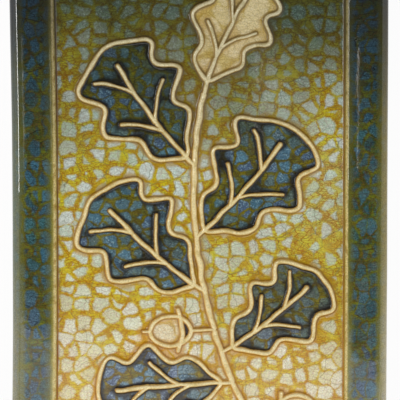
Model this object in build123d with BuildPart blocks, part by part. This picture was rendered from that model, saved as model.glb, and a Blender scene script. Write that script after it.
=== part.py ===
"""Faience wall tile: one pressed and fired slab with a raised frame, a sunk
picture panel and a sprig drawn on the panel in raised lines.

The tile lies on its back. The origin is the middle of the back face, +Z points
out of the glazed face and +Y to the top of the picture. Sizes are millimetres.
"""

import math
import os
from collections import namedtuple

from build123d import *

# Slab
tile_width = 152.0
tile_length = 229.0
tile_thickness = 16.0
plan_corner = 4.0
outer_arris = 3.0
back_chamfer = 0.8

# Frame and sunk panel
frame_width = 17.0
frame_rise = 3.0
opening_corner = 2.5
wall_draft = 18.0
inner_arris = 1.5
foot_radius = 1.0

# Keying grooves in the back
groove_count = 6
groove_pitch = 32.0
groove_width = 5.0
groove_depth = 1.6
groove_end_margin = 16.0

# Raised lines
line_width = 2.0
twig_width = 2.6
vein_width = 1.6
line_height = 1.5
line_root = 0.5

# Oak leaves
stalk_length = 5.0
leaf_lobes = 2.9
lobe_depth = 0.36
base_taper = 0.42
lobe_stagger = 0.12
outline_arcs = 18
midrib_share = 0.84
first_vein_share = 0.30
last_vein_share = 0.88
vein_share = 0.60
vein_lag = 12.0
vein_bow = 1.0

# Acorns
acorn_stalk = 9.0
acorn_length = 17.0
acorn_width = 12.0
cup_depth = 5.5
rim_overhang = 2.2
rim_sag = 1.6
nib_length = 2.6

# The twig's ends are shares of half the opening, from its middle. Leaves and
# acorns leave it at a share of its length, at a heading in degrees from +X.
Leaf = namedtuple("Leaf", "share heading length half_width bend")
Acorn = namedtuple("Acorn", "share heading")
twig_root = (0.42, -1.0)
twig_tip = (0.02, 0.44)
twig_bow = 13.0
leaves = [
    Leaf(0.18, 180, 50, 23, 8),
    Leaf(0.27, 30, 46, 23, 16),
    Leaf(0.45, 148, 54, 28, -20),
    Leaf(0.60, 40, 54, 29, 18),
    Leaf(0.80, 136, 54, 28, -18),
    Leaf(1.00, 72, 46, 23, -16),
]
acorns = [
    Acorn(0.06, 14),
    Acorn(0.34, 182),
]

opening_width = tile_width - 2 * frame_width
opening_length = tile_length - 2 * frame_width
panel_level = tile_thickness - frame_rise
groove_length = tile_width - 2 * groove_end_margin


def on_panel(x_share, y_share):
    return Vector(x_share * opening_width / 2, y_share * opening_length / 2)


twig = SagittaArc(on_panel(*twig_root), on_panel(*twig_tip), twig_bow)


def leaf_spine(leaf, along):
    """Point and direction on the curved midrib, measured from the twig."""
    curve = math.radians(leaf.bend) / (stalk_length + leaf.length)
    start = math.radians(leaf.heading)
    turn = start + curve * along
    step = Vector(
        (math.sin(turn) - math.sin(start)) / curve,
        (math.cos(start) - math.cos(turn)) / curve,
    )
    return twig.position_at(leaf.share) + step, turn


def half_blade(leaf, share, side):
    """Half width of the lobed blade at a share of its length."""
    wave = 0.5 + 0.5 * math.cos(2 * math.pi * (leaf_lobes * share + side * lobe_stagger))
    taper = base_taper + (1 - base_taper) * share
    return leaf.half_width * 2 * math.sqrt(share * (1 - share)) * taper * (1 - lobe_depth * wave)


def across_blade(leaf, share, side, reach):
    """Point beside the midrib, a share of the way out to the blade's edge."""
    half = reach * half_blade(leaf, share, side)
    spine, way = leaf_spine(leaf, stalk_length + share * leaf.length)
    return spine + Vector(-math.sin(way), math.cos(way)) * (side * half)


def blade_edge(leaf, turn):
    """Point on the blade's outline, once round for a full turn from its base."""
    side = 1 if math.sin(turn) >= 0 else -1
    return across_blade(leaf, (1 - math.cos(turn)) / 2, side, 1)


def beside_edge(leaf, turn, offset):
    """Point held off the blade's outline by an outward distance."""
    tangent = blade_edge(leaf, turn + 0.005) - blade_edge(leaf, turn - 0.005)
    return blade_edge(leaf, turn) + Vector(-tangent.Y, tangent.X).normalized() * offset


def blade_rail(leaf, offset):
    """Closed chain of arcs round the blade, held off its outline by an outward distance."""
    step = math.pi / outline_arcs
    ring = [beside_edge(leaf, index * step, offset) for index in range(2 * outline_arcs)]
    for index in range(0, 2 * outline_arcs, 2):
        ThreePointArc(ring[index], ring[index + 1], ring[index + 2 - 2 * outline_arcs])


def lobe_shares(side):
    """Shares of the blade's length at which one side's lobes stand out most."""
    first = 0.5 - side * lobe_stagger
    peaks = [(first + count) / leaf_lobes for count in range(math.ceil(leaf_lobes))]
    return [peak for peak in peaks if first_vein_share < peak < last_vein_share]


# The raised lines of the sprig, as one flat pattern lifted off the panel.
with BuildPart() as relief:
    with BuildSketch(Plane.XY.offset(panel_level - line_root)) as lines:
        for leaf in leaves:
            with BuildLine():
                blade_rail(leaf, line_width / 2)
            make_face()
            with BuildLine():
                blade_rail(leaf, -line_width / 2)
            make_face(mode=Mode.SUBTRACT)

        for leaf in leaves:
            whole = stalk_length + midrib_share * leaf.length
            with BuildLine(mode=Mode.PRIVATE) as midrib:
                ThreePointArc(*[leaf_spine(leaf, whole * part)[0] for part in (0, 0.5, 1)])
            SlotArc(midrib.edge(), line_width)
            for side in (1, -1):
                for share in lobe_shares(side):
                    root = leaf_spine(leaf, stalk_length + share * leaf.length - vein_lag)[0]
                    tip = across_blade(leaf, share, side, vein_share)
                    with BuildLine(mode=Mode.PRIVATE) as vein:
                        SagittaArc(root, tip, -side * vein_bow)
                    SlotArc(vein.edge(), vein_width)

        SlotArc(twig, twig_width)

        for acorn in acorns:
            way = math.radians(acorn.heading)
            along = Vector(math.cos(way), math.sin(way))
            across = Vector(-math.sin(way), math.cos(way))
            foot = twig.position_at(acorn.share)
            top = foot + along * acorn_stalk
            middle = top + along * acorn_length / 2
            rim = top + along * cup_depth
            end = top + along * acorn_length
            reach = across * (acorn_width / 2 + rim_overhang)
            with Locations(Location(middle, acorn.heading)):
                Ellipse((acorn_length + line_width) / 2, (acorn_width + line_width) / 2)
                Ellipse(
                    (acorn_length - line_width) / 2,
                    (acorn_width - line_width) / 2,
                    mode=Mode.SUBTRACT,
                )
            with BuildLine(mode=Mode.PRIVATE) as cup_rim:
                SagittaArc(rim - reach, rim + reach, rim_sag)
            SlotArc(cup_rim.edge(), line_width)
            for start, stop in ((foot, top), (end, end + along * nib_length)):
                with BuildLine(mode=Mode.PRIVATE) as stroke:
                    Line(start, stop)
                SlotArc(stroke.edge(), vein_width)

        Rectangle(opening_width - line_width, opening_length - line_width, mode=Mode.INTERSECT)
    extrude(amount=line_root + line_height)

with BuildPart() as tile:
    with BuildSketch():
        RectangleRounded(tile_width, tile_length, plan_corner)
    extrude(amount=tile_thickness)
    fillet(tile.edges().group_by(Axis.Z)[-1], outer_arris)
    chamfer(tile.edges().group_by(Axis.Z)[0], back_chamfer)

    # Sunk panel, its walls leaning out so that the clay leaves the mould
    with BuildSketch(Plane.XY.offset(tile_thickness)):
        RectangleRounded(opening_width, opening_length, opening_corner)
    extrude(amount=-frame_rise, taper=wall_draft, mode=Mode.SUBTRACT)
    panel = tile.faces().filter_by_position(Axis.Z, panel_level - 0.01, panel_level + 0.01)[0]
    fillet(panel.edges(), foot_radius)
    frame_top = tile.faces().filter_by(Plane.XY).sort_by(Axis.Z)[-1]
    fillet(frame_top.inner_wires()[0].edges(), inner_arris)

    add(relief.part)

    # Grooves that key the back into its bed
    with BuildSketch():
        with GridLocations(0, groove_pitch, 1, groove_count):
            SlotOverall(groove_length, groove_width)
    extrude(amount=groove_depth, mode=Mode.SUBTRACT)

tile.part.label = "tile"
os.makedirs("parts", exist_ok=True)
export_step(tile.part, "parts/tile.step")
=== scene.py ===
import math
from collections import namedtuple

import bmesh
import bpy
import numpy as np
from mathutils import Matrix, Quaternion, Vector, kdtree
from mathutils.geometry import delaunay_2d_cdt
from mathutils.noise import noise as handNoise


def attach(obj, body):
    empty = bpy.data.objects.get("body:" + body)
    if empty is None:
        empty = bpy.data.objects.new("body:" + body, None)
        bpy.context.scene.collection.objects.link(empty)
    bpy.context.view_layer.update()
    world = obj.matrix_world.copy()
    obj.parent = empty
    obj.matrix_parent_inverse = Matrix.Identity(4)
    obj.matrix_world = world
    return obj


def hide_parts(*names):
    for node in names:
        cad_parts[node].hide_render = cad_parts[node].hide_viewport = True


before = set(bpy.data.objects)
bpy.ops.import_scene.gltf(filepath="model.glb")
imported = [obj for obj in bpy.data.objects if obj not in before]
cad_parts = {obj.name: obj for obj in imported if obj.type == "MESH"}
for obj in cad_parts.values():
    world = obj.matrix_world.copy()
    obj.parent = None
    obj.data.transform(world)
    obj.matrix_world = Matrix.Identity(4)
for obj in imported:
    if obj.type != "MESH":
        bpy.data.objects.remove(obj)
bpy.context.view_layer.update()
print("frame loaded")

# The tile is laid out in millimetres and scaled to metres when its mesh is made.
mm = 0.001

slab = {
    "width": 152.0,
    "length": 229.0,
    "thickness": 16.0,
    "planCorner": 4.0,
    "outerArris": 3.0,
    "backChamfer": 0.8,
    "frameWidth": 17.0,
    "frameRise": 3.0,
    "openingCorner": 2.5,
    "footCorner": 0.4,  # least plan radius at the panel's foot
    "wallDraft": 18.0,
    "innerArris": 1.3,
    "footRadius": 1.0,
    "crown": 0.4,  # the frame's top swells slightly
    "longestRun": 1.6,  # longer runs of the section are cut up so that they can undulate
    "groundReach": -1.2,  # the ground's glaze ends here, outward from the opening
}
panelLevel = slab["thickness"] - slab["frameRise"]
openingWidth = slab["width"] - 2 * slab["frameWidth"]
openingLength = slab["length"] - 2 * slab["frameWidth"]

Leaf = namedtuple("Leaf", "share heading length halfWidth bend glaze")
Acorn = namedtuple("Acorn", "share heading")
sprig = {
    "twigRoot": (0.42, -1.0),  # shares of half the opening
    "twigTip": (0.02, 0.44),
    "twigBow": 13.0,
    "leaves": [
        Leaf(0.18, 180, 50, 23, 8, "leaf"),
        Leaf(0.27, 30, 46, 23, 16, "leaf"),
        Leaf(0.45, 148, 54, 28, -20, "leaf"),
        Leaf(0.60, 40, 54, 29, 18, "leaf"),
        Leaf(0.80, 136, 54, 28, -18, "leaf"),
        Leaf(1.00, 72, 46, 23, -16, "cream"),
    ],
    "acorns": [Acorn(0.06, 14), Acorn(0.34, 182)],
    "stalk": 5.0,
    "lobes": 2.9,
    "lobeDepth": 0.36,
    "lobeStagger": 0.12,
    "baseTaper": 0.42,
    "midribShare": 0.84,
    "veinShares": (0.30, 0.88),
    "veinReach": 0.60,
    "veinLag": 12.0,
    "veinBow": 1.0,
    "acornStalk": 9.0,
    "acornLength": 17.0,
    "acornWidth": 12.0,
    "cupDepth": 5.5,
    "rimOverhang": 2.2,
    "rimSag": 1.6,
    "nib": 2.6,
}
rimHalf = sprig["acornWidth"] / 2 + sprig["rimOverhang"]

raisedLine = {
    "width": 2.0,
    "twigWidth": 2.6,
    "veinWidth": 1.6,
    "height": 1.5,
    "heightWaver": 0.3,
    "widthWaver": 0.3,
    "pathWaver": 0.6,
    "waverSize": 6.0,
    "spacing": 0.75,  # along the path
    "rails": (0.0, 0.35, 0.65, 0.9, 1.15, 1.5, 2.1),  # across it, in half widths
    "domeReach": 1.7,  # way out to the dome's foot, in half widths
    # share of that way, and height there
    "dome": ((0, 1), (0.2, 0.96), (0.38, 0.74), (0.52, 0.36), (0.62, 0.1), (0.72, 0.02), (1, 0)),
}
RaisedLine = namedtuple("RaisedLine", "points width closed glaze")
# points of each kind of line before it is spaced evenly
pathPoints = {"blade": 600, "midrib": 40, "vein": 20, "twig": 80, "nut": 120, "rim": 20}

regionNumber = {"ground": 0, "leaf": 1, "cream": 2, "cup": 3, "frame": 4, "clay": 5}
clayPlace = 40.0  # wall place of bare clay, clear of every band of the glaze


def tint(red, green, blue):  # screen values, 0 to 255, to linear light
    return tuple(
        v / 12.92 if v <= 0.04045 else ((v + 0.055) / 1.055) ** 2.4
        for v in (red / 255, green / 255, blue / 255)
    ) + (1.0,)


# Lines of the sprig

def bowPoint(start, end, sag, share):  # on a circular arc that bows to the left of its chord
    ax, ay = start
    bx, by = end
    chord = math.hypot(bx - ax, by - ay)
    ux, uy = (bx - ax) / chord, (by - ay) / chord
    radius = (chord * chord / 4 + sag * sag) / (2 * sag)
    half = math.asin(chord / 2 / radius)
    turn = half * (2 * share - 1)
    along = chord / 2 + radius * math.sin(turn)
    out = radius * math.cos(turn) - radius + sag
    return (ax + ux * along - uy * out, ay + uy * along + ux * out)


def onPanel(xShare, yShare):
    return (xShare * openingWidth / 2, yShare * openingLength / 2)


def twigPoint(share):
    root, tip = onPanel(*sprig["twigRoot"]), onPanel(*sprig["twigTip"])
    return bowPoint(root, tip, sprig["twigBow"], share)


def leafSpine(leaf, along):
    curve = math.radians(leaf.bend) / (sprig["stalk"] + leaf.length)
    start = math.radians(leaf.heading)
    turn = start + curve * along
    x, y = twigPoint(leaf.share)
    return (
        x + (math.sin(turn) - math.sin(start)) / curve,
        y + (math.cos(start) - math.cos(turn)) / curve,
    ), turn


def acrossBlade(leaf, share, side, reach):
    lobe = sprig["lobes"] * share + side * sprig["lobeStagger"]
    wave = 0.5 + 0.5 * math.cos(2 * math.pi * lobe)
    taper = sprig["baseTaper"] + (1 - sprig["baseTaper"]) * share
    oval = leaf.halfWidth * 2 * math.sqrt(share * (1 - share))
    half = oval * taper * (1 - sprig["lobeDepth"] * wave)
    (x, y), way = leafSpine(leaf, sprig["stalk"] + share * leaf.length)
    return (x - math.sin(way) * side * half * reach, y + math.cos(way) * side * half * reach)


def bladeOutline(leaf, count):
    points = []
    for index in range(count):
        turn = 2 * math.pi * index / count
        side = 1 if math.sin(turn) >= 0 else -1
        points.append(acrossBlade(leaf, (1 - math.cos(turn)) / 2, side, 1))
    return points


def lobeShares(side):
    first = 0.5 - side * sprig["lobeStagger"]
    low, high = sprig["veinShares"]
    peaks = [(first + count) / sprig["lobes"] for count in range(math.ceil(sprig["lobes"]))]
    return [peak for peak in peaks if low < peak < high]


def evenly(points, spacing, closed):  # the same path at an even spacing
    path = np.array(points + points[:1] if closed else points, dtype=float)
    run = np.concatenate([[0], np.cumsum(np.hypot(*np.diff(path, axis=0).T))])
    count = max(3, int(round(run[-1] / spacing)))
    stations = np.linspace(0, run[-1], count + 1)
    even = np.column_stack([np.interp(stations, run, path[:, axis]) for axis in (0, 1)])
    return even[:-1] if closed else even


def wavered(points):  # the hand's unsteadiness, the same for lines that meet
    size, reach = raisedLine["waverSize"], raisedLine["pathWaver"]
    layers = (0.3, 9.7)  # one slice of the noise for each direction
    shifts = [[handNoise(Vector((x / size, y / size, z))) for z in layers] for x, y in points]
    return points + np.array(shifts) * reach


def acornPlace(acorn):
    way = math.radians(acorn.heading)
    x, y = twigPoint(acorn.share)
    ax, ay = math.cos(way), math.sin(way)
    return lambda along, across: (x + ax * along - ay * across, y + ay * along + ax * across)


def sprigPaths():
    drawn = []

    def line(points, width, closed=False, glaze=None):
        run = wavered(evenly(points, raisedLine["spacing"], closed))
        drawn.append(RaisedLine(run, width, closed, glaze))

    width, veinWidth = raisedLine["width"], raisedLine["veinWidth"]
    for leaf in sprig["leaves"]:
        line(bladeOutline(leaf, pathPoints["blade"]), width, True, leaf.glaze)
        whole = sprig["stalk"] + sprig["midribShare"] * leaf.length
        count = pathPoints["midrib"]
        line([leafSpine(leaf, whole * i / count)[0] for i in range(count + 1)], width)
        for side in (1, -1):
            for share in lobeShares(side):
                along = sprig["stalk"] + share * leaf.length - sprig["veinLag"]
                root = leafSpine(leaf, along)[0]
                tip = acrossBlade(leaf, share, side, sprig["veinReach"])
                bow = -side * sprig["veinBow"]
                count = pathPoints["vein"]
                line([bowPoint(root, tip, bow, i / count) for i in range(count + 1)], veinWidth)
    count = pathPoints["twig"]
    line([twigPoint(i / count) for i in range(count + 1)], raisedLine["twigWidth"])
    for acorn in sprig["acorns"]:
        place = acornPlace(acorn)
        top = sprig["acornStalk"]
        end = top + sprig["acornLength"]
        middle = top + sprig["acornLength"] / 2
        count = pathPoints["nut"]
        nut = []
        for i in range(count):
            turn = 2 * math.pi * i / count
            nut.append(place(
                middle + sprig["acornLength"] / 2 * math.cos(turn),
                sprig["acornWidth"] / 2 * math.sin(turn),
            ))
        line(nut, width, True, "cream")
        low, high = (place(top + sprig["cupDepth"], across) for across in (-rimHalf, rimHalf))
        count = pathPoints["rim"]
        line([bowPoint(low, high, sprig["rimSag"], i / count) for i in range(count + 1)], width)
        line([place(0, 0), place(top, 0)], veinWidth)
        line([place(end, 0), place(end + sprig["nib"], 0)], veinWidth)
    return drawn


paths = sprigPaths()
print("sprig laid out in", len(paths), "raised lines")


# Tile body: rings from the foot of the panel wall out to the back, then panel and back sheets

def roundedProfile(corners):  # (across, up, radius, steps) corners to a smooth outline
    outline = []
    for index, (x, z, radius, steps) in enumerate(corners):
        here = Vector((x, z))
        if radius == 0:
            outline.append(here)
            continue
        back = (Vector(corners[index - 1][:2]) - here).normalized()
        ahead = (Vector(corners[index + 1][:2]) - here).normalized()
        half = back.angle(ahead) / 2
        centre = here + (back + ahead).normalized() * radius / math.sin(half)
        first = here + back * radius / math.tan(half) - centre
        last = here + ahead * radius / math.tan(half) - centre
        sweep = first.angle_signed(last)
        for step in range(steps + 1):
            turn = -sweep * step / steps
            outline.append(centre + Vector((
                first.x * math.cos(turn) - first.y * math.sin(turn),
                first.x * math.sin(turn) + first.y * math.cos(turn),
            )))
    return outline


def tileProfile():  # section of the slab, across from the opening's edge and up from the back
    lean = slab["frameRise"] * math.tan(math.radians(slab["wallDraft"]))
    out, top = slab["frameWidth"], slab["thickness"]
    panelSide = -lean - 2 * slab["frameRise"]  # only gives the foot its direction
    smooth = roundedProfile([
        (panelSide, panelLevel, 0, 0),
        (-lean, panelLevel, slab["footRadius"], 5),
        (0, top, slab["innerArris"], 6),
        (out, top, slab["outerArris"], 7),
        (out, slab["backChamfer"], 0, 0),
        (out - slab["backChamfer"], 0, 0, 0),
    ])[1:]
    filled = [smooth[0]]
    for here in smooth[1:]:
        start = filled[-1]
        gap = here - start
        cuts = max(1, int(gap.length / slab["longestRun"]))
        filled += [start + gap * (cut + 1) / cuts for cut in range(cuts)]
    for here in filled:
        if here.x > 0 and here.y > panelLevel:
            here.y += slab["crown"] * (1 - (2 * here.x / out - 1) ** 2)
    return filled


ringCuts = {"corner": 6, "x": 80, "y": 130}  # pieces of a corner and of a straight run


def ringPoints(out):  # rounded rectangle at a distance outside the opening
    share = min(max(out / slab["frameWidth"], 0), 1)
    corner = slab["openingCorner"] + (slab["planCorner"] - slab["openingCorner"]) * share
    if out < 0:
        corner = max(slab["openingCorner"] + out, slab["footCorner"])
    halfX, halfY = openingWidth / 2 + out, openingLength / 2 + out
    ring = []
    for sx, sy, start, (ax, ay) in (  # each corner, and the way of the run after it
        (1, 1, 0, (-1, 0)), (-1, 1, 90, (0, -1)), (-1, -1, 180, (1, 0)), (1, -1, 270, (0, 1)),
    ):
        cx, cy = sx * (halfX - corner), sy * (halfY - corner)
        for step in range(ringCuts["corner"] + 1):
            turn = math.radians(start + 90 * step / ringCuts["corner"])
            ring.append((cx + corner * math.cos(turn), cy + corner * math.sin(turn)))
        cuts = ringCuts["x" if ax else "y"]
        run = 2 * ((halfX if ax else halfY) - corner)
        fx, fy = ring[-1]
        for step in range(1, cuts):
            ring.append((fx + ax * run * step / cuts, fy + ay * run * step / cuts))
    return ring


def ringEdges(first, count):
    return [(first + i, first + (i + 1) % count) for i in range(count)]


def triangulated(coords, edges):  # flat points and faces between them
    closest = 1e-5
    verts, _, faces, *_ = delaunay_2d_cdt([Vector(c) for c in coords], edges, [], 1, closest)
    return np.array([(v.x, v.y) for v in verts]), faces


def turnsLeft(a, b, c):
    return (b[0] - a[0]) * (c[1] - a[1]) - (b[1] - a[1]) * (c[0] - a[0]) > 0


def insidePolygon(points, polygon):  # even-odd test for many points
    x, y = points[:, 0], points[:, 1]
    inside = np.zeros(len(points), dtype=bool)
    near = (x > polygon[:, 0].min()) & (x < polygon[:, 0].max())
    near &= (y > polygon[:, 1].min()) & (y < polygon[:, 1].max())
    x, y = x[near], y[near]
    found = np.zeros(len(x), dtype=bool)
    for (ax, ay), (bx, by) in zip(polygon, np.roll(polygon, -1, axis=0)):
        if ay == by:
            continue
        found ^= ((ay > y) != (by > y)) & (x < (bx - ax) * (y - ay) / (by - ay) + ax)
    inside[near] = found
    return inside


sheet = {
    "closest": 0.17,  # from point to point
    "margin": 0.5,  # left free inside the border
    "slack": 0.12,  # by which a point beside one line may stand nearer to another
    "endStep": 0.5,  # round the end of a line
    "gap": 2.3,  # from point to point between the lines
    "rowShare": 0.87,
    "jitter": 0.4,
    "clear": 2.4,  # from those points to the nearest line
    "seed": 7,
}


def panelSheet(border):  # flat triangles that follow the raised lines
    tree = kdtree.KDTree(sum(len(line.points) for line in paths))
    for index, (x, y) in enumerate(point for line in paths for point in line.points):
        tree.insert((x, y, 0), index)
    tree.balance()
    taken, coords, edges = {}, [], []
    closest = sheet["closest"]
    limitX = max(x for x, y in border) - sheet["margin"]
    limitY = max(y for x, y in border) - sheet["margin"]

    def square(x, y):
        return math.floor(x / closest), math.floor(y / closest)

    def free(x, y):
        column, row = square(x, y)
        return all(
            math.hypot(ox - x, oy - y) >= closest
            for ix in (column - 1, column, column + 1)
            for iy in (row - 1, row, row + 1)
            for ox, oy in taken.get((ix, iy), ())
        )

    def keep(x, y):
        taken.setdefault(square(x, y), []).append((x, y))
        coords.append((x, y))

    def keepRing(points):
        edges.extend(ringEdges(len(coords), len(points)))
        for x, y in points:
            keep(x, y)

    def keepBeside(x, y, out):  # unless a point is there or another line is nearer
        if abs(x) > limitX or abs(y) > limitY or not free(x, y):
            return
        if tree.find((x, y, 0))[2] > out - sheet["slack"]:
            keep(x, y)

    keepRing(border)
    for line in paths:
        if line.closed:
            keepRing(line.points)
    for line in paths:
        points = line.points
        ahead = np.roll(points, -1, axis=0) - np.roll(points, 1, axis=0)
        if not line.closed:
            ahead[0], ahead[-1] = points[1] - points[0], points[-1] - points[-2]
        ahead /= np.hypot(ahead[:, 0], ahead[:, 1])[:, None]
        ends = [] if line.closed else [(points[0], ahead[0], -1), (points[-1], ahead[-1], 1)]
        for rail in raisedLine["rails"]:
            out = rail * line.width / 2
            if rail == 0 and line.closed:
                continue
            for side in (1, -1) if rail else (1,):
                for (x, y), (ax, ay) in zip(points, ahead):
                    keepBeside(x - ay * out * side, y + ax * out * side, out)
            if rail == 0:
                continue
            steps = max(3, int(round(math.pi * out / sheet["endStep"])))
            for (x, y), (ax, ay), way in ends:
                for step in range(steps + 1):
                    turn = math.pi * (step / steps - 0.5)
                    dx, dy = out * math.cos(turn) * way, out * math.sin(turn)
                    keepBeside(x + ax * dx - ay * dy, y + ay * dx + ax * dy, out)

    spread = np.random.default_rng(sheet["seed"])
    gap, jitter = sheet["gap"], sheet["jitter"]
    row, y = 0, -limitY
    while y < limitY:
        x = -limitX + (gap / 2 if row % 2 else 0)
        while x < limitX:
            px, py = np.array((x, y)) + spread.uniform(-jitter, jitter, 2)
            inside = abs(px) < limitX and abs(py) < limitY
            if inside and tree.find((px, py, 0))[2] > sheet["clear"]:
                keep(px, py)
            x += gap
        y += gap * sheet["rowShare"]
        row += 1

    flat, faces = triangulated(coords, edges)
    centres = flat[np.array(faces)].mean(axis=1)
    region = np.full(len(faces), regionNumber["ground"])
    for line in paths:
        if line.closed:
            region[insidePolygon(centres, line.points)] = regionNumber[line.glaze]
    for acorn in sprig["acorns"]:
        place = acornPlace(acorn)
        base = np.array(place(0, 0))
        way = np.array(place(1, 0)) - base
        along = (centres - base) @ way
        across = np.abs((centres - base) @ np.array([-way[1], way[0]]))
        top = sprig["acornStalk"]
        rim = top + sprig["cupDepth"] - sprig["rimSag"] * (1 - (across / rimHalf) ** 2)
        cup = (along > top - raisedLine["width"] / 2) & (along < rim) & (across < rimHalf)
        region[cup & (region == regionNumber["cream"])] = regionNumber["cup"]
    return flat, faces, region


grooves = {
    "count": 6,
    "pitch": 32.0,
    "width": 5.0,
    "depth": 1.6,
    "endMargin": 16.0,
    "endCuts": 8,
}


def grooveOutline(y):
    half = (slab["width"] - 2 * grooves["endMargin"] - grooves["width"]) / 2
    radius = grooves["width"] / 2
    outline = []
    for end, start in ((1, -90), (-1, 90)):
        for step in range(grooves["endCuts"] + 1):
            turn = math.radians(start + 180 * step / grooves["endCuts"])
            outline.append((end * half + radius * math.cos(turn), y + radius * math.sin(turn)))
    return outline


def tileMesh():
    profile = tileProfile()
    rings = [ringPoints(p.x) for p in profile]
    size = len(rings[0])
    verts, faces, region, place = [], [], [], []

    def addPoints(points, z, where):  # gives the number of the first new point
        verts.extend((x, y, z) for x, y in points)
        place.extend(where)
        return len(verts) - len(points)

    def addFace(corners, number):
        faces.append(tuple(corners))
        region.append(number)

    for p, ring in zip(profile, rings):
        bare = p.y <= slab["backChamfer"] + 0.1  # the chamfer and its upper edge
        addPoints(ring, p.y, [clayPlace if bare else p.x] * size)
    for level in range(len(rings) - 1):
        low, high = level * size, (level + 1) * size
        ground = profile[level + 1].x < slab["groundReach"]
        for i in range(size):
            j = (i + 1) % size
            corners = (low + i, high + i, high + j, low + j)
            addFace(corners, regionNumber["ground" if ground else "frame"])

    flat, triangles, panelRegion = panelSheet(rings[0])
    inward = [min(openingWidth / 2 - abs(x), openingLength / 2 - abs(y)) for x, y in flat]
    first = addPoints(flat, panelLevel, [-reach for reach in inward])
    for triangle, number in zip(triangles, panelRegion):
        up = turnsLeft(*(flat[i] for i in triangle))
        addFace((first + i for i in (triangle if up else triangle[::-1])), number)

    middleRow = (grooves["count"] - 1) / 2
    slots = [grooveOutline((i - middleRow) * grooves["pitch"]) for i in range(grooves["count"])]
    coords, edges = [], []
    for ring in [rings[-1]] + slots:
        edges += ringEdges(len(coords), len(ring))
        coords += ring
    back, backFaces = triangulated(coords, edges)
    middles = np.array([back[list(f)].mean(axis=0) for f in backFaces])
    cut = np.zeros(len(backFaces), dtype=bool)
    for slot in slots:
        cut |= insidePolygon(middles, np.array(slot))
    clay = regionNumber["clay"]
    first = addPoints(back, 0.0, [clayPlace] * len(back))
    for face, gone in zip(backFaces, cut):
        if not gone:
            up = turnsLeft(*(back[i] for i in face[:3]))
            addFace((first + i for i in (face[::-1] if up else face)), clay)
    for slot in slots:
        count = len(slot)
        first = addPoints(slot, 0.0, [clayPlace] * count)
        floor = addPoints(slot, grooves["depth"], [clayPlace] * count)
        for i in range(count):
            j = (i + 1) % count
            addFace((first + i, first + j, floor + j, floor + i), clay)
        addFace((floor + i for i in reversed(range(count))), clay)

    mesh = bpy.data.meshes.new("tileBlank")
    mesh.from_pydata([Vector(v) * mm for v in verts], [], faces)
    mesh.attributes.new("glazeRegion", "INT", "FACE").data.foreach_set("value", region)
    mesh.attributes.new("wallPlace", "FLOAT", "POINT").data.foreach_set("value", place)
    build = bmesh.new()
    build.from_mesh(mesh)
    bmesh.ops.remove_doubles(build, verts=build.verts, dist=2e-6)
    openEdges = sum(1 for e in build.edges if not e.is_manifold)
    build.to_mesh(mesh)
    build.free()
    print("tile blank:", len(mesh.polygons), "faces,", openEdges, "open edges")
    return mesh


def pathMesh():  # the raised lines as bare edges
    verts, edges, half = [], [], []
    for line in paths:
        count = len(line.points)
        edges += ringEdges(len(verts), count)[:None if line.closed else -1]
        verts += [(x * mm, y * mm, panelLevel * mm) for x, y in line.points]
        half += [line.width / 2 * mm] * count
    mesh = bpy.data.meshes.new("linePaths")
    mesh.from_pydata(verts, edges, [])
    mesh.attributes.new("lineHalf", "FLOAT", "POINT").data.foreach_set("value", half)
    return mesh


# Node helpers

def put(tree, kind, inputs=None, **settings):
    node = tree.nodes.new(kind)
    for name, value in settings.items():
        setattr(node, name, value)
    for key, value in (inputs or {}).items():
        if isinstance(value, bpy.types.NodeSocket):
            tree.links.new(value, node.inputs[key])
        else:
            node.inputs[key].default_value = value
    return node


def calc(tree, operation, a, b=0.0, c=0.0, clamp=False):
    inputs = {0: a, 1: b, 2: c}
    return put(tree, "ShaderNodeMath", inputs, operation=operation, use_clamp=clamp).outputs[0]


def vectorCalc(tree, operation, a, b):
    second = "Scale" if operation == "SCALE" else 1
    return put(tree, "ShaderNodeVectorMath", {0: a, second: b}, operation=operation).outputs[0]


def span(tree, value, low, high, toLow=0.0, toHigh=1.0, smooth=True):  # low to high becomes 0 to 1
    inputs = {0: value, 1: low, 2: high, 3: toLow, 4: toHigh}
    kind = "SMOOTHSTEP" if smooth else "LINEAR"
    return put(tree, "ShaderNodeMapRange", inputs, interpolation_type=kind).outputs[0]


def blend(tree, factor, a, b):  # two colours
    inputs = {0: factor, 6: a, 7: b}
    return put(tree, "ShaderNodeMix", inputs, data_type="RGBA").outputs[2]


def noise(tree, vector, scale, detail=2.0, rough=0.5, output=0):
    inputs = {"Vector": vector, "Scale": scale, "Detail": detail, "Roughness": rough}
    return put(tree, "ShaderNodeTexNoise", inputs).outputs[output]


def swing(tree, value):  # noise about zero
    return calc(tree, "SUBTRACT", value, 0.5)


# Relief: one tree lifts the raised lines off the blank and hands out the glazes

handWork = {  # how the whole slab departs from true, in millimetres
    "waver": 0.35,
    "waverSize": 70.0,
    "sideBow": 0.85,  # the left side is pulled in most at the bow's middle
    "bowMiddle": -8.0,
    "bowHalf": 100.0,
    "bowStart": -55.0,  # full to the left of here, gone at the tile's middle
    "seed": 3.0,
}


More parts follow.
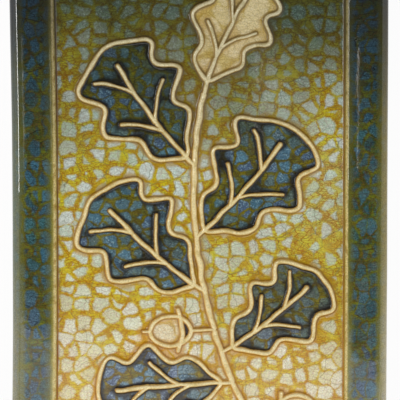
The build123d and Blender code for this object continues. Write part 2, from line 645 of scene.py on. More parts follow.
def reliefTree(glazes):
    tree = bpy.data.node_groups.new("raisedLineRelief", "GeometryNodeTree")
    face = tree.interface
    face.new_socket("Geometry", in_out="INPUT", socket_type="NodeSocketGeometry")
    face.new_socket("Line Paths", in_out="INPUT", socket_type="NodeSocketObject")
    for name in (
        "Line Height", "Height Waver", "Width Waver", "Waver Size",
        "Hand Waver", "Hand Waver Size", "Side Bow", "Seed",
    ):
        face.new_socket(name, in_out="INPUT", socket_type="NodeSocketFloat")
    face.new_socket("Geometry", in_out="OUTPUT", socket_type="NodeSocketGeometry")
    given = put(tree, "NodeGroupInput").outputs
    place = put(tree, "GeometryNodeInputPosition").outputs[0]
    source = {"Object": given["Line Paths"]}
    lines = put(tree, "GeometryNodeObjectInfo", source).outputs["Geometry"]

    def attribute(name, kind):
        node = put(tree, "GeometryNodeInputNamedAttribute", {"Name": name}, data_type=kind)
        return node.outputs[0]

    def seeded(scale):  # slow noise with the fixed seed
        inputs = {"Vector": place, "W": given["Seed"], "Detail": 1.0, "Scale": scale}
        return put(tree, "ShaderNodeTexNoise", inputs, noise_dimensions="4D").outputs

    # distance to the nearest line, and half that line's width
    asked = {"Geometry": lines, "Sample Position": place}
    reach = put(tree, "GeometryNodeProximity", asked, target_element="EDGES").outputs["Distance"]
    nearest = put(tree, "GeometryNodeSampleNearest", asked).outputs[0]
    half = put(tree, "GeometryNodeSampleIndex", {
        "Geometry": lines, "Value": attribute("lineHalf", "FLOAT"), "Index": nearest,
    }, data_type="FLOAT", domain="POINT").outputs[0]

    # the lines swell and thin as they run
    swell = swing(tree, seeded(calc(tree, "DIVIDE", 0.8, given["Waver Size"]))[0])
    swell = calc(tree, "MULTIPLY", swell, 2.0)
    wider = calc(tree, "MULTIPLY_ADD", swell, given["Width Waver"], 1.0)
    taller = calc(tree, "MULTIPLY_ADD", swell, given["Height Waver"], 1.0)
    half = calc(tree, "MULTIPLY", half, wider)
    share = calc(tree, "DIVIDE", reach, half)
    share = calc(tree, "DIVIDE", share, raisedLine["domeReach"], clamp=True)
    dome = put(tree, "ShaderNodeFloatCurve", {"Value": share})
    curve = dome.mapping.curves[0]
    crown, *between, foot = raisedLine["dome"]
    for x, y in between:
        curve.points.new(x, y)
    curve.points[0].location, curve.points[-1].location = crown, foot
    dome.mapping.update()
    lift = calc(tree, "MULTIPLY", dome.outputs[0], given["Line Height"])
    lift = calc(tree, "MULTIPLY", lift, taller)

    # the whole slab wavers in its plane, and its left side bows in
    drift = seeded(calc(tree, "DIVIDE", 1.0, given["Hand Waver Size"]))["Color"]
    drift = vectorCalc(tree, "SUBTRACT", drift, (0.5, 0.5, 0.5))
    drift = vectorCalc(tree, "MULTIPLY", drift, (2, 2, 0))
    drift = vectorCalc(tree, "SCALE", drift, given["Hand Waver"])
    axes = put(tree, "ShaderNodeSeparateXYZ", {0: place}).outputs
    along = calc(tree, "SUBTRACT", axes["Y"], handWork["bowMiddle"] * mm)
    along = calc(tree, "DIVIDE", along, handWork["bowHalf"] * mm)
    arch = calc(tree, "SUBTRACT", 1.0, calc(tree, "MULTIPLY", along, along), clamp=True)
    leftward = span(tree, axes["X"], 0.0, handWork["bowStart"] * mm)
    pulledIn = calc(tree, "MULTIPLY", calc(tree, "MULTIPLY", arch, leftward), given["Side Bow"])
    raised = put(tree, "ShaderNodeCombineXYZ", {0: pulledIn, 2: lift}).outputs[0]
    offset = vectorCalc(tree, "ADD", drift, raised)

    edge = calc(tree, "MULTIPLY", calc(tree, "SUBTRACT", reach, half), 1 / mm)
    stored = put(tree, "GeometryNodeStoreNamedAttribute", {
        "Geometry": given["Geometry"], "Name": "lineEdge", "Value": edge,
    }, data_type="FLOAT", domain="POINT").outputs[0]
    moved = put(tree, "GeometryNodeSetPosition", {"Geometry": stored, "Offset": offset}).outputs[0]
    shape = put(tree, "GeometryNodeRealizeInstances", {"Geometry": moved}).outputs[0]
    region = attribute("glazeRegion", "INT")
    for name, number in regionNumber.items():
        compared = {2: region, 3: number}
        same = put(tree, "FunctionNodeCompare", compared, data_type="INT", operation="EQUAL")
        shape = put(tree, "GeometryNodeSetMaterial", {
            "Geometry": shape, "Selection": same.outputs[0], "Material": glazes[name],
        }).outputs[0]
    put(tree, "NodeGroupOutput", {"Geometry": shape})
    return tree


# Shader groups shared by the glazes

def shaderGroup(name, inputs, outputs):
    tree = bpy.data.node_groups.new(name, "ShaderNodeTree")
    for label, kind, value in inputs:
        socket = tree.interface.new_socket(label, in_out="INPUT", socket_type=kind)
        if value is not None:
            socket.default_value = value
    for label in outputs:
        tree.interface.new_socket(label, in_out="OUTPUT", socket_type="NodeSocketFloat")
    return tree, put(tree, "NodeGroupInput").outputs


def gridOf(tree, vector, size, stretch):  # coordinates counted in cells of a size in millimetres
    grid = vectorCalc(tree, "SCALE", vector, calc(tree, "DIVIDE", 1 / mm, size))
    return vectorCalc(tree, "MULTIPLY", grid, stretch)


def bend(tree, grid, scale, amount):
    cloud = noise(tree, grid, scale, 2.0, 0.55, "Color")
    centred = vectorCalc(tree, "SUBTRACT", cloud, (0.5, 0.5, 0.5))
    return vectorCalc(tree, "ADD", grid, vectorCalc(tree, "SCALE", centred, amount))


def flatVoronoi(tree, vector, feature, uneven=1.0):
    inputs = {"Vector": vector, "Scale": 1.0, "Randomness": uneven}
    settings = {"voronoi_dimensions": "2D", "feature": feature}
    return put(tree, "ShaderNodeTexVoronoi", inputs, **settings).outputs


def glazeCells():  # pale rounded islands in a network of stained glaze
    tree, given = shaderGroup("glazeCells", [
        ("Vector", "NodeSocketVector", None),
        ("Cell Size", "NodeSocketFloat", 6.0),
        ("Stretch", "NodeSocketVector", (1.0, 1.0, 1.0)),
        ("Band", "NodeSocketFloat", 0.12),
        ("Soft", "NodeSocketFloat", 0.08),
        ("Warp", "NodeSocketFloat", 0.6),
    ], ["Cell", "Near", "Shade", "Fade", "Seam"])
    uneven = 0.8
    grid = gridOf(tree, given["Vector"], given["Cell Size"], given["Stretch"])
    warped = bend(tree, grid, 0.8, given["Warp"])
    edge = flatVoronoi(tree, warped, "DISTANCE_TO_EDGE", uneven)["Distance"]
    island = flatVoronoi(tree, warped, "F1", uneven)
    parts = put(tree, "ShaderNodeSeparateColor", {0: island["Color"]}).outputs  # three draws a cell
    wide = calc(tree, "MULTIPLY_ADD", calc(tree, "POWER", parts[0], 2.0), 1.6, 0.5)
    inner = calc(tree, "SUBTRACT", edge, calc(tree, "MULTIPLY", given["Band"], wide))
    rounded = calc(tree, "MULTIPLY", calc(tree, "SUBTRACT", 0.58, island["Distance"]), 0.8)
    inner = calc(tree, "SMOOTH_MIN", inner, rounded, 0.12)
    inner = calc(tree, "MULTIPLY_ADD", swing(tree, noise(tree, grid, 0.4)), 0.36, inner)
    grain = swing(tree, noise(tree, grid, 4.0, 3.0, 0.65))
    ragged = calc(tree, "MULTIPLY_ADD", grain, 0.22, inner)
    half = calc(tree, "MULTIPLY", given["Soft"], 0.5)
    put(tree, "NodeGroupOutput", {
        "Cell": span(tree, ragged, calc(tree, "MULTIPLY", half, -1.0), half),
        "Near": span(tree, ragged, -0.16, 0.02),
        "Shade": parts[1],
        "Fade": parts[2],
        "Seam": span(tree, edge, 0.05, 0.0),
    })
    return tree


def crazing():  # shrinkage cracks, in patches
    tree, given = shaderGroup("crazing", [
        ("Vector", "NodeSocketVector", None),
        ("Size", "NodeSocketFloat", 1.7),
        ("Stretch", "NodeSocketVector", (1.0, 1.0, 1.0)),
        ("Width", "NodeSocketFloat", 0.07),
    ], ["Crack"])
    grid = gridOf(tree, given["Vector"], given["Size"], given["Stretch"])
    edge = flatVoronoi(tree, bend(tree, grid, 0.9, 0.8), "DISTANCE_TO_EDGE")["Distance"]
    patch = span(tree, noise(tree, grid, 0.3), 0.3, 0.55)
    crack = calc(tree, "MULTIPLY", span(tree, edge, given["Width"], 0.0), patch)
    put(tree, "NodeGroupOutput", {"Crack": crack})
    return tree


def streaks():  # broken threads of iron stain
    tree, given = shaderGroup("streaks", [
        ("Vector", "NodeSocketVector", None),
        ("Size", "NodeSocketFloat", 3.2),
        ("Width", "NodeSocketFloat", 0.05),
    ], ["Streak"])
    grid = gridOf(tree, given["Vector"], given["Size"], (1.0, 1.25, 1.0))
    bent = bend(tree, grid, 1.6, 0.5)
    threads = []
    for scale in (1.0, 2.3):
        cloud = swing(tree, noise(tree, bent, scale, 3.0, 0.6))
        threads.append(span(tree, calc(tree, "ABSOLUTE", cloud), given["Width"], 0.0))
    patch = span(tree, noise(tree, grid, 0.4), 0.34, 0.56)
    both = calc(tree, "MAXIMUM", threads[0], calc(tree, "MULTIPLY", threads[1], 0.7))
    put(tree, "NodeGroupOutput", {"Streak": calc(tree, "MULTIPLY", both, patch)})
    return tree


def glazeBreak():  # where the glaze runs thin on an edge and gathers beside it; the foot mask also carries painted shade
    tree, given = shaderGroup("glazeBreak", [
        ("Vector", "NodeSocketVector", None),
        ("Ragged", "NodeSocketFloat", 0.25),
        ("Pool Reach", "NodeSocketFloat", 2.5),
        ("Arris Reach", "NodeSocketFloat", 1.5),
    ], ["Crest", "Flank", "Rim", "Pool", "Arris", "Halo", "Wall", "FootPoolAndShade", "Inset", "Outer"])
    edge = put(tree, "ShaderNodeAttribute", attribute_name="lineEdge").outputs["Fac"]
    wall = put(tree, "ShaderNodeAttribute", attribute_name="wallPlace").outputs["Fac"]
    fine = swing(tree, noise(tree, given["Vector"], 900.0, 3.0, 0.6))
    slow = swing(tree, noise(tree, given["Vector"], 240.0))
    broad = noise(tree, given["Vector"], 90.0)
    stray = calc(tree, "MULTIPLY", calc(tree, "MULTIPLY_ADD", slow, 1.6, fine), given["Ragged"])

    # beside the raised lines, in millimetres outward from a line's edge
    line = calc(tree, "ADD", edge, stray)
    rim = calc(tree, "MULTIPLY", span(tree, line, 0.9, 0.1), span(tree, broad, 0.3, 0.6, 0.35, 1.0))
    reach = calc(tree, "MULTIPLY", given["Pool Reach"], span(tree, broad, 0.3, 0.72, 0.25, 1.9))

    # up the panel's wall and across the frame, in millimetres outward from the opening
    rough = calc(tree, "ADD", wall, stray)
    top = span(tree, wall, -0.75, -0.2)
    arris = calc(tree, "MULTIPLY", span(tree, rough, given["Arris Reach"], 0.1, smooth=False), top)
    haloReach = calc(tree, "ADD", given["Arris Reach"], 2.4)
    halo = calc(tree, "MULTIPLY", span(tree, rough, haloReach, 0.6, smooth=False), top)
    foot = span(tree, calc(tree, "ABSOLUTE", calc(tree, "ADD", rough, 1.05)), 0.65, 0.25)
    foot = calc(tree, "MULTIPLY", foot, span(tree, broad, 0.32, 0.58, 0.5, 1.0))
    outside = calc(tree, "MULTIPLY_ADD", stray, 2.0, wall)
    rise, fall = span(tree, outside, 11.2, 13.0), span(tree, outside, 15.6, 14.0)
    put(tree, "NodeGroupOutput", {
        "Crest": span(tree, line, -0.15, -0.6),
        "Flank": span(tree, line, 0.1, -0.2),
        "Rim": rim,
        "Pool": span(tree, line, reach, calc(tree, "MULTIPLY", reach, 0.3)),
        "Arris": arris,
        "Halo": halo,
        "Wall": span(tree, rough, -0.2, -0.5),
        "FootPoolAndShade": foot,
        "Inset": calc(tree, "MULTIPLY", rise, fall),
        "Outer": span(tree, outside, 12.8, 16.4),
    })
    return tree


groups = {"cells": glazeCells(), "craze": crazing(), "streaks": streaks(), "break": glazeBreak()}


def useGroup(tree, name, inputs):
    return put(tree, "ShaderNodeGroup", inputs, node_tree=groups[name]).outputs


def freshMaterial(name):
    material = bpy.data.materials.new(name)
    material.use_nodes = True
    material.node_tree.nodes.clear()
    return material, material.node_tree


clayRough = 0.85


def clayTint(tree, at):
    body = span(tree, noise(tree, at, 60.0, 4.0, 0.6), 0.3, 0.7)
    speck = span(tree, noise(tree, at, 1500.0), 0.66, 0.74)
    colour = blend(tree, body, tint(176, 146, 108), tint(203, 176, 136))
    return blend(tree, calc(tree, "MULTIPLY", speck, 0.5), colour, tint(104, 76, 52))


faceRun = {  # how the glazes change over the face, in metres from its middle
    "fade": 0.085,  # height at which the bottom and top tones are full
    "tiltBack": -0.67,  # share of the tilt at the full top tones
    "right": (0.01, 0.045),
    "golden": (-0.03, 0.045, 0.02),  # level strips: middle, outer and inner half height
    "washed": (0.018, 0.035, 0.005),
    "arris": (-0.055, 0.055, 2.2, 0.9),  # left, right, and the bright arris's width at each
    "outer": (-0.06, 0.06),
    "foot": (-0.05, 0.05),
    "dull": (0.0, 0.05, 0.0, 0.3),  # roughness of the outer strip
}
cloudScale = {  # per metre
    "slow": 28.0, "lost": 24.0, "drift": 170.0, "mottle": 520.0, "flecksAndGlints": 1500.0, "worn": 300.0,
    "grain": 2100.0, "rough": 160.0, "ripple": 110.0, "clayEdge": 90.0,
}
cover = {  # share by which each layer hides what lies under it
    "mid": 0.85, "near": 0.5, "mottle": 0.45, "seam": 0.8, "flecksAndGlints": 0.35, "net": 0.9, "tinge": 0.8,
    "inset": 0.65, "outer": 0.85, "halo": 0.85, "wornFleck": 0.7,
}


def glaze(name, look):
    material, tree = freshMaterial(name)
    at = put(tree, "ShaderNodeTexCoord").outputs["Object"]
    axes = put(tree, "ShaderNodeSeparateXYZ", {0: at}).outputs
    slant = {0: axes["Z"], 1: (0.9, 0.7, 0.0), 2: at}  # so that no cell is drawn out down the sides
    flat = put(tree, "ShaderNodeVectorMath", slant, operation="MULTIPLY_ADD").outputs[0]
    fade = faceRun["fade"]
    slow = noise(tree, at, cloudScale["slow"])
    level = calc(tree, "MULTIPLY_ADD", swing(tree, slow), look["drift"], axes["Y"])
    low = span(tree, level, 0.0, -fade)
    highStart = calc(tree, "MULTIPLY", axes["X"], look["tilt"])
    highEnd = calc(tree, "MULTIPLY_ADD", axes["X"], faceRun["tiltBack"] * look["tilt"], fade)
    high = span(tree, level, highStart, highEnd)
    right = span(tree, axes["X"], *faceRun["right"])
    tones = {}

    def byHeight(key):  # bottom, middle and top of the face; on the frame the dark top is painted shade and the paler bottom painted reflection
        if key not in tones:
            bottom, middle, top = (tint(*c) for c in look[key])
            tones[key] = blend(tree, high, blend(tree, low, middle, bottom), top)
        return tones[key]

    def part(mask, depth):
        return calc(tree, "MULTIPLY", mask, depth)

    def most(a, b):
        return calc(tree, "MAXIMUM", a, b)

    def over(base, mask, depth, key):  # a tone laid over the rest
        return blend(tree, part(mask, depth), base, byHeight(key))

    def strip(middle, outer, inner):  # at one level, on the right of the face
        away = calc(tree, "ABSOLUTE", calc(tree, "SUBTRACT", level, middle))
        return part(right, span(tree, away, outer, inner))

    def cracks(size, width, stretch=(1.0, 1.0, 1.0)):
        inputs = {"Vector": flat, "Size": size, "Stretch": stretch, "Width": width}
        return useGroup(tree, "craze", inputs)["Crack"]

    gap = span(tree, level, 0.0, -fade, look["band"], look["band"] * 0.65)
    gap = calc(tree, "MULTIPLY_ADD", strip(*faceRun["golden"]), look["gold"], gap)
    cells = useGroup(tree, "cells", {
        "Vector": flat, "Cell Size": look["cellSize"], "Stretch": look["cellStretch"],
        "Band": gap, "Soft": look["soft"], "Warp": look["warp"],
    })
    broken = useGroup(tree, "break", {
        "Vector": at, "Ragged": look["ragged"], "Pool Reach": look["poolReach"],
        "Arris Reach": span(tree, axes["X"], *faceRun["arris"]),
    })
    craze = cracks(look["crazeSize"], look["crazeWidth"])
    net = cracks(look["netSize"], 0.14, (0.6, 1.6, 1.0))
    fissure = cracks(look["fissureSize"], 0.035, look["fissureStretch"])
    streak = useGroup(tree, "streaks", {"Vector": flat, "Size": look["streakSize"]})["Streak"]
    # one speckle mask: orange flecks in the stained glaze, worn specks on the crests, and painted
    # glints on the cells
    flecksAndGlints = span(tree, noise(tree, at, cloudScale["flecksAndGlints"], 2.0, 0.6), 0.5, 0.68)
    drift = span(tree, noise(tree, at, cloudScale["drift"], 3.0, 0.6), 0.38, 0.62)
    mottle = span(tree, noise(tree, flat, cloudScale["mottle"], 3.0, 0.6), 0.45, 0.62)

    # stained glaze between the cells
    band = over(byHeight("bandLight"), drift, cover["mid"], "bandMid")
    near = most(part(cells["Near"], cover["near"]), part(mottle, cover["mottle"]))
    band = blend(tree, near, band, byHeight("bandNear"))
    aside = calc(tree, "MULTIPLY_ADD", strip(*faceRun["washed"]), 0.8, 0.2)
    washed = part(aside, span(tree, slow, 0.35, 0.6))
    band = over(band, washed, look["wash"], "cell")
    stain = most(streak, part(cells["Seam"], part(drift, cover["seam"])))
    stain = most(stain, most(part(flecksAndGlints, cover["flecksAndGlints"]), part(net, cover["net"])))
    band = over(band, stain, look["stainDepth"], "bandDark")

    # the cells
    island = over(byHeight("cell"), cells["Shade"], look["cellVary"], "cellOther")
    island = over(island, span(tree, cells["Fade"], 0.55, 0.8), cover["tinge"], "cellTinge")
    island = over(island, craze, look["crazeDepth"], "craze")
    # painted glints: pale specks on the cells stand in for highlights on the crazing
    island = over(island, flecksAndGlints, look["paintedGlint"], "cellPaintedGlint")
    strength = span(tree, cells["Fade"], 0.0, 0.6, look["fade"], 1.0, smooth=False)
    lost = span(tree, noise(tree, at, cloudScale["lost"]), 0.45, 0.66, 1.0, 1.0 - look["dissolve"])
    fewer = span(tree, high, 0.3, 1.0, 1.0, look["topCells"])
    strength = part(part(strength, lost), fewer)
    colour = blend(tree, part(cells["Cell"], strength), band, island)
    colour = over(colour, net, look["netOver"], look["netTone"])
    colour = over(colour, fissure, look["fissureDepth"], "craze")

    # pooled beside the lines and at the wall's foot, thin over the edges
    colour = over(colour, broken["Pool"], look["poolDepth"], "pool")
    colour = over(colour, broken["Rim"], look["rimDepth"], "rim")
    if "wall" in look:
        colour = blend(tree, broken["Wall"], colour, byHeight("wall"))
    # glaze gathered at the foot of the panel's wall, darkened further as painted shade, full on the
    # left and half as deep on the right
    depth = look["footPoolAndShadeDepth"]
    footPoolAndShadeDepth = span(tree, axes["X"], *faceRun["foot"], depth, depth * 0.5)
    colour = over(colour, broken["FootPoolAndShade"], footPoolAndShadeDepth, "rim")
    if "halo" in look:
        # the outer arris, where the glaze runs thin; its tones also carry painted light: painted
        # shade at the top, painted reflection at the bottom and on the right
        farSide = span(tree, axes["X"], *faceRun["outer"])
        thinGlazeAndPaintedLight = blend(tree, farSide, byHeight("outerLeft"), byHeight("outerRight"))
        colour = over(colour, broken["Inset"], cover["inset"], "halo")
        colour = blend(tree, part(broken["Outer"], cover["outer"]), colour, thinGlazeAndPaintedLight)
        colour = over(colour, broken["Halo"], cover["halo"], "halo")
    worn = span(tree, noise(tree, at, cloudScale["worn"], 3.0, 0.6), 0.48, 0.66)
    worn = most(part(flecksAndGlints, cover["wornFleck"]), worn)
    crestTint = over(byHeight("crest"), worn, look["wear"], "crestWorn")
    colour = blend(tree, most(broken["Flank"], broken["Arris"]), colour, byHeight("flank"))
    crest = most(broken["Crest"], span(tree, broken["Arris"], 0.4, 1.0))
    colour = blend(tree, crest, colour, crestTint)
    grain = look["grain"]
    value = noise(tree, at, cloudScale["grain"], 1.0)
    value = span(tree, value, 0.3, 0.7, 1.0 - grain, 1.0 + grain)
    colour = put(tree, "ShaderNodeHueSaturation", {"Color": colour, "Value": value}).outputs[0]

    rough = span(tree, noise(tree, at, cloudScale["rough"], 3.0), 0.3, 0.7, *look["rough"])
    if "clayLine" in look:  # glaze ends above the back, its outer strip is duller on the right
        dull = span(tree, axes["X"], *faceRun["dull"])
        rough = most(rough, part(broken["Outer"], dull))
        wander = swing(tree, noise(tree, at, cloudScale["clayEdge"], 3.0))
        run = calc(tree, "MULTIPLY_ADD", wander, look["clayWander"], axes["Z"])
        upper, lower = (look["clayLine"] + edge for edge in look["clayEdge"])
        bare = span(tree, run, upper, lower)
        colour = blend(tree, bare, colour, clayTint(tree, at))
        rough = most(rough, part(bare, clayRough))

    relief = look["crazeRelief"]
    height = calc(tree, "MULTIPLY_ADD", craze, -relief, noise(tree, at, cloudScale["ripple"]))
    height = calc(tree, "MULTIPLY_ADD", cells["Cell"], relief, height)
    rippled = {"Strength": look["bump"], "Distance": 0.0006, "Height": height}
    shader = put(tree, "ShaderNodeBsdfPrincipled", {
        "Base Color": colour, "Roughness": rough, "IOR": 1.52,
        "Normal": put(tree, "ShaderNodeBump", rippled).outputs[0],
    })
    put(tree, "ShaderNodeOutputMaterial", {"Surface": shader.outputs[0]})
    return material


def bareClay():
    material, tree = freshMaterial("bareClay")
    at = put(tree, "ShaderNodeTexCoord").outputs["Object"]
    grainy = {"Strength": 0.5, "Distance": 0.0004, "Height": noise(tree, at, 700.0, 4.0, 0.7)}
    shader = put(tree, "ShaderNodeBsdfPrincipled", {
        "Base Color": clayTint(tree, at), "Roughness": clayRough,
        "Normal": put(tree, "ShaderNodeBump", grainy).outputs[0],
    })
    put(tree, "ShaderNodeOutputMaterial", {"Surface": shader.outputs[0]})
    return material


groundLook = {
    "cellSize": 6.2, "cellStretch": (1.0, 1.05, 1.0), "band": 0.17, "soft": 0.16, "warp": 0.65,
    "cellVary": 0.9, "paintedGlint": 0.75, "fade": 0.65, "dissolve": 0.25, "topCells": 0.6,
    "wash": 0.15, "gold": 0.1, "drift": 0.06, "tilt": 0.15, "grain": 0.12, "wear": 0.7,
    "bandLight": [(226, 200, 34), (214, 202, 32), (88, 88, 20)],
    "bandMid": [(214, 172, 8), (200, 160, 2), (66, 64, 10)],
    "bandNear": [(214, 198, 80), (184, 188, 70), (74, 88, 42)],
    "bandDark": [(184, 106, 4), (156, 88, 0), (52, 38, 8)],
    "cell": [(246, 243, 210), (210, 232, 222), (74, 106, 108)],
    "cellOther": [(232, 230, 192), (182, 210, 202), (56, 84, 88)],
    "cellTinge": [(240, 228, 194), (210, 216, 208), (88, 102, 88)],
    "cellPaintedGlint": [(254, 252, 242), (238, 246, 236), (134, 158, 156)],
    "crazeSize": 1.25, "crazeWidth": 0.13, "crazeDepth": 0.35,
    "craze": [(150, 124, 66), (96, 106, 72), (42, 48, 32)],
    "stainDepth": 0.85, "streakSize": 3.0,
    "fissureSize": 7.0, "fissureStretch": (0.8, 1.2, 1.0), "fissureDepth": 0.6,
    "ragged": 0.35, "poolReach": 1.9, "poolDepth": 0.72, "rimDepth": 0.65, "footPoolAndShadeDepth": 0.5,
    "netSize": 2.1, "netOver": 0.28, "netTone": "bandDark",
    "pool": [(208, 150, 14), (176, 138, 8), (60, 52, 10)],
    "rim": [(152, 84, 6), (120, 72, 4), (42, 34, 10)],
    "crest": [(250, 231, 176), (243, 223, 164), (214, 204, 166)],
    "crestWorn": [(228, 198, 122), (212, 186, 112), (176, 162, 114)],
    "flank": [(226, 178, 92), (210, 164, 80), (146, 122, 70)],
    "rough": (0.04, 0.12), "bump": 0.2, "crazeRelief": 0.12,
}
leafLook = {
    **groundLook,
    "cellSize": 5.4, "band": 0.13, "soft": 0.14, "warp": 0.8,
    "paintedGlint": 0.6, "fade": 0.55, "dissolve": 0.5, "wash": 0.0, "gold": 0.0,
    "bandLight": [(156, 134, 10), (132, 122, 8), (74, 78, 16)],
    "bandMid": [(118, 102, 8), (90, 88, 6), (50, 56, 14)],
    "bandNear": [(84, 110, 70), (66, 94, 54), (40, 62, 42)],
    "bandDark": [(96, 54, 8), (70, 42, 4), (32, 28, 10)],
    "cell": [(130, 166, 186), (90, 136, 158), (42, 82, 102)],
    "cellOther": [(76, 112, 138), (46, 84, 106), (24, 52, 70)],
    "cellTinge": [(112, 122, 152), (76, 92, 124), (36, 54, 82)],
    "cellPaintedGlint": [(184, 208, 216), (150, 186, 196), (84, 120, 134)],
    "craze": [(34, 38, 34), (24, 28, 22), (16, 20, 16)],
    "crazeDepth": 0.6, "stainDepth": 0.75, "fissureDepth": 0.5,
    "poolReach": 1.7, "poolDepth": 0.9, "rimDepth": 0.85, "netOver": 0.35, "netTone": "craze",
    "pool": [(34, 28, 24), (26, 22, 16), (18, 18, 16)],
    "rim": [(46, 30, 14), (36, 24, 10), (24, 20, 12)],
}
creamLook = {
    **groundLook,
    "cellSize": 10.0, "band": 0.06, "soft": 0.1,
    "fade": 0.7, "dissolve": 0.2, "wash": 0.0, "gold": 0.0,
    "bandLight": [(224, 196, 116), (220, 194, 118), (204, 184, 112)],
    "bandMid": [(206, 172, 84), (200, 170, 84), (182, 158, 80)],
    "bandNear": [(230, 210, 150), (226, 208, 150), (212, 196, 140)],
    "bandDark": [(184, 132, 44), (176, 130, 44), (150, 120, 52)],
    "cell": [(242, 230, 194), (240, 228, 190), (232, 218, 178)],
    "cellOther": [(232, 216, 172), (228, 212, 166), (216, 200, 154)],
    "cellTinge": [(240, 224, 186), (236, 220, 180), (226, 208, 166)],
    "cellPaintedGlint": [(250, 246, 226), (250, 244, 222), (242, 234, 208)],
    "craze": [(200, 170, 104), (192, 164, 100), (170, 148, 96)],
    "crazeDepth": 0.4, "stainDepth": 0.5, "fissureDepth": 0.4,
    "poolReach": 1.4, "poolDepth": 0.6,
    "pool": [(214, 166, 50), (204, 156, 44), (178, 142, 50)],
}
frameLook = {
    **groundLook,
    "cellSize": 5.4, "cellStretch": (1.1, 0.9, 1.0), "band": 0.15, "soft": 0.2, "warp": 0.9,
    "paintedGlint": 0.5, "fade": 0.6, "dissolve": 0.3, "topCells": 0.9,
    "wash": 0.0, "gold": 0.0, "drift": 0.05, "tilt": 0.0, "grain": 0.2, "wear": 1.0,
    # the frame's tones hold painted light: painted shade darkens the top almost to black, and
    # painted reflection makes the bottom a little paler than the middle
    "bandLight": [(116, 120, 28), (104, 114, 22), (40, 46, 18)],
    "bandMid": [(48, 64, 30), (34, 56, 22), (18, 30, 22)],
    "bandNear": [(52, 92, 76), (40, 84, 70), (20, 42, 42)],
    "bandDark": [(122, 82, 12), (110, 74, 10), (48, 36, 14)],
    "cell": [(80, 122, 146), (66, 116, 142), (32, 56, 76)],
    "cellOther": [(42, 76, 100), (28, 64, 84), (14, 30, 44)],
    "cellTinge": [(84, 92, 124), (58, 100, 96), (36, 42, 60)],
    "cellPaintedGlint": [(116, 154, 170), (92, 140, 154), (48, 74, 90)],
    "craze": [(22, 28, 24), (14, 22, 16), (8, 12, 12)],
    "crazeSize": 1.7, "crazeWidth": 0.1, "crazeDepth": 0.7, "stainDepth": 0.7, "streakSize": 2.8,
    "fissureSize": 5.5, "fissureStretch": (0.3, 1.9, 1.0), "fissureDepth": 0.8,
    "poolDepth": 0.0, "rimDepth": 0.0, "footPoolAndShadeDepth": 0.95,
    "netSize": 2.4, "netOver": 0.4, "netTone": "craze",
    "wall": [(196, 148, 40), (160, 124, 34), (72, 62, 26)],
    "halo": [(134, 128, 54), (106, 104, 36), (50, 50, 26)],
    # thin glaze on the outer arris; the dark tops are painted shade and the pale bottoms painted
    # reflection; the right is paler partly from thinner glaze and partly as painted light against
    # its shade
    "outerLeft": [(158, 154, 128), (108, 116, 94), (30, 32, 34)],
    "outerRight": [(206, 196, 158), (158, 142, 80), (34, 28, 16)],
    "crest": [(236, 218, 152), (226, 206, 134), (134, 122, 78)],
    "crestWorn": [(204, 170, 88), (178, 146, 62), (104, 92, 54)],
    "flank": [(190, 174, 92), (162, 150, 70), (84, 80, 46)],
    "rough": (0.03, 0.06), "bump": 0.1, "crazeRelief": 0.03,
    "clayLine": 0.0035, "clayWander": 0.007, "clayEdge": (0.0006, -0.0002),  # metres
}
cupLook = {
    **leafLook,
    "poolReach": 4.0, "poolDepth": 0.95,
    "pool": [(60, 36, 28), (50, 28, 20), (38, 26, 20)],
}

glazes = {
    "ground": glaze("groundGlaze", groundLook),
    "leaf": glaze("leafGlaze", leafLook),
    "cream": glaze("creamGlaze", creamLook),
    "cup": glaze("cupGlaze", cupLook),
    "frame": glaze("frameGlaze", frameLook),
    "clay": bareClay(),
}
print("glazes mixed:", ", ".join(m.name for m in glazes.values()))


def firedTile():
    blank = bpy.data.objects.new("tileBlank", tileMesh())
    lines = bpy.data.objects.new("linePaths", pathMesh())
    for piece in (blank, lines):
        bpy.context.scene.collection.objects.link(piece)
    tree = reliefTree(glazes)
    relief = blank.modifiers.new("relief", "NODES")
    relief.node_group = tree
    values = {
        "Line Paths": lines,
        "Line Height": raisedLine["height"] * mm,
        "Height Waver": raisedLine["heightWaver"],
        "Width Waver": raisedLine["widthWaver"],
        "Waver Size": raisedLine["waverSize"] * mm,
        "Hand Waver": handWork["waver"] * mm,
        "Hand Waver Size": handWork["waverSize"] * mm,
        "Side Bow": handWork["sideBow"] * mm,
        "Seed": handWork["seed"],
    }
    for socket in tree.interface.items_tree:
        if socket.in_out == "INPUT" and socket.name in values:
            relief[socket.identifier] = values[socket.name]
    bpy.context.view_layer.update()
    evaluated = blank.evaluated_get(bpy.context.evaluated_depsgraph_get())
    mesh = bpy.data.meshes.new_from_object(evaluated)
    mesh.name = "firedTile"
    blank.modifiers.clear()
    tile = bpy.data.objects.new("firedTile", mesh)
    bpy.context.scene.collection.objects.link(tile)
    for piece in (blank, lines):
        bpy.data.objects.remove(piece)
    region = np.zeros(len(mesh.polygons), dtype=np.int32)
    mesh.attributes["glazeRegion"].data.foreach_get("value", region)
    mesh.polygons.foreach_set("use_smooth", region != regionNumber["clay"])
    mesh.update()
    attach(tile, "root")
    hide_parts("tile")
    print("tile fired:", len(mesh.vertices), "points,", len(mesh.polygons), "faces")


firedTile()


# Studio: white paper floor, soft lamps, camera over the face

paper = {
    "half": 6.0,
    "grey": 0.9,  # in the light
    "white": 0.95,  # share of plain white where it is seen
}
worldLight = 0.15


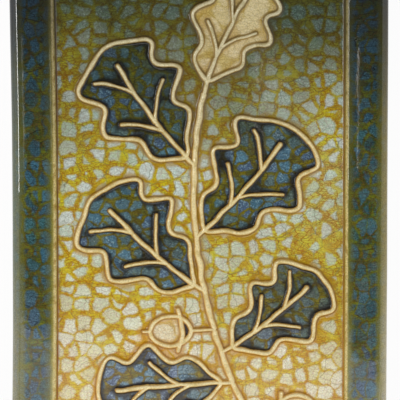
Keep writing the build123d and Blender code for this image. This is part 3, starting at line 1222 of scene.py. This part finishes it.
def studioFloor():
    mesh = bpy.data.meshes.new("studioFloor")
    half, grey = paper["half"], paper["grey"]
    corners = [(-half, -half, 0), (half, -half, 0), (half, half, 0), (-half, half, 0)]
    mesh.from_pydata(corners, [], [(0, 1, 2, 3)])
    floor = bpy.data.objects.new("studioFloor", mesh)
    bpy.context.scene.collection.objects.link(floor)
    material, tree = freshMaterial("studioPaper")
    ray = put(tree, "ShaderNodeLightPath").outputs
    mirrored = calc(tree, "MAXIMUM", ray["Is Glossy Ray"], ray["Is Transmission Ray"])
    seen = calc(tree, "MAXIMUM", ray["Is Camera Ray"], mirrored)
    lit = put(tree, "ShaderNodeBsdfDiffuse", {"Color": (grey, grey, grey, 1.0)}).outputs[0]
    plain = put(tree, "ShaderNodeEmission", {"Color": (1, 1, 1, 1), "Strength": 1.0}).outputs[0]
    share = calc(tree, "MULTIPLY", seen, paper["white"])
    mixed = put(tree, "ShaderNodeMixShader", {0: share, 1: lit, 2: plain}).outputs[0]
    put(tree, "ShaderNodeOutputMaterial", {"Surface": mixed})
    mesh.materials.append(material)


def studioWorld():
    world = bpy.data.worlds.new("studioWorld")
    bpy.context.scene.world = world
    world.use_nodes = True
    tree = world.node_tree
    tree.nodes.clear()
    ray = put(tree, "ShaderNodeLightPath").outputs
    dim, white = (
        put(tree, "ShaderNodeBackground", {"Color": (1, 1, 1, 1), "Strength": strength}).outputs[0]
        for strength in (worldLight, 1.0)
    )
    mixed = put(tree, "ShaderNodeMixShader", {0: ray["Is Camera Ray"], 1: dim, 2: white}).outputs[0]
    put(tree, "ShaderNodeOutputWorld", {"Surface": mixed})


def softLamp(name, at, toward, size, turn, power):
    lamp = bpy.data.lights.new(name, "AREA")
    lamp.shape = "RECTANGLE"
    lamp.size, lamp.size_y = size
    lamp.energy = power
    piece = bpy.data.objects.new(name, lamp)
    piece.location = at
    aim = (Vector(toward) - Vector(at)).to_track_quat("-Z", "Y")
    piece.rotation_euler = (aim @ Quaternion((0, 0, 1), math.radians(turn))).to_euler()
    bpy.context.scene.collection.objects.link(piece)


# The sides light the tile, the strip lights it from high on the left, the tubes draw the
# thin highlights on the frame, and the veil lies over the lower part of the face.
lamps = {  # place, aimed at, size, turn, power
    "stripLamp": ((-0.36, 0.11, 0.68), (0, 0.11, 0), (0.3, 0.06), 0.0, 1.3),
    "leftLamp": ((-1.1, -0.4, 0.8), (0, 0, 0), (2.0, 1.6), 0.0, 9.8),
    "rightLamp": ((1.1, -0.3, 0.8), (0, 0, 0), (2.0, 1.6), 0.0, 9.8),
    "tubeLeft": ((-0.139, 0.029, 0.76), (-0.139, 0.029, 0), (0.006, 0.095), 0.0, 0.009),
    "tubeRight": ((0.118, 0.029, 0.76), (0.118, 0.029, 0), (0.006, 0.095), 0.0, 0.009),
    "veilLamp": ((0.07, -0.354, 0.85), (0.07, -0.354, 0), (0.7, 0.36), -6.0, 1.2),
}

camera = {
    "yaw": 5.0,
    "pitch": 3.5,
    "distance": 0.8,
    "lens": 179.5,
    "sensor": 36.0,
    "aim": (0.0, 0.0, 0.014),
    "shift": (-0.00125, 0.0),
    "farthest": 20,
}


def overhead():
    lens = bpy.data.cameras.new("overhead")
    lens.lens = camera["lens"]
    lens.sensor_width = camera["sensor"]
    lens.shift_x, lens.shift_y = camera["shift"]
    lens.clip_end = camera["farthest"]
    eye = bpy.data.objects.new("overhead", lens)
    yaw, pitch = math.radians(camera["yaw"]), math.radians(camera["pitch"])
    out = Vector((
        -math.sin(yaw) * math.cos(pitch), math.sin(pitch), math.cos(yaw) * math.cos(pitch),
    ))
    eye.location = Vector(camera["aim"]) + out * camera["distance"]
    right = Vector((0, 1, 0)).cross(out).normalized()
    up = out.cross(right)
    eye.rotation_euler = Matrix((right, up, out)).transposed().to_euler()
    bpy.context.scene.collection.objects.link(eye)
    bpy.context.scene.camera = eye


studioFloor()
studioWorld()
for lampName, lampValues in lamps.items():
    softLamp(lampName, *lampValues)
overhead()
bpy.context.scene.view_settings.view_transform = "Standard"
print("studio set")
